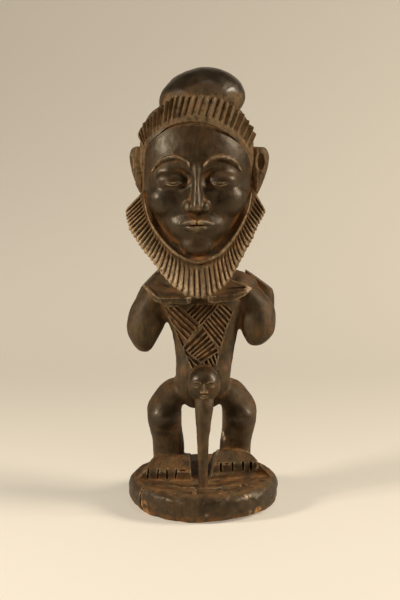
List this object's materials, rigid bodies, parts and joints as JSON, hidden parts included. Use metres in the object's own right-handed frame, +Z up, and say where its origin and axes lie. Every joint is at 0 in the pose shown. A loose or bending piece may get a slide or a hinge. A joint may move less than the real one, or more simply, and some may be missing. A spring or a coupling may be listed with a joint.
{
  "type": "ancestor figure",
  "caption": "Carved hardwood ancestor figure with fluted beard and hair crest, standing on a round base of the same block.",
  "frame": {"origin": "middle of the base's flat underside", "axes": "+Z up the figure, the figure looks along -Y, +X to the right of someone who faces it"},
  "size_m": [0.1047, 0.1038, 0.3],
  "materials": {
    "carved_wood": "dark brown oiled patina, polished on the high places, with ochre dust in the carving"
  },
  "bodies": {
    "root": {"ancestor_figure": "carved_wood"}
  },
  "joints": []
}
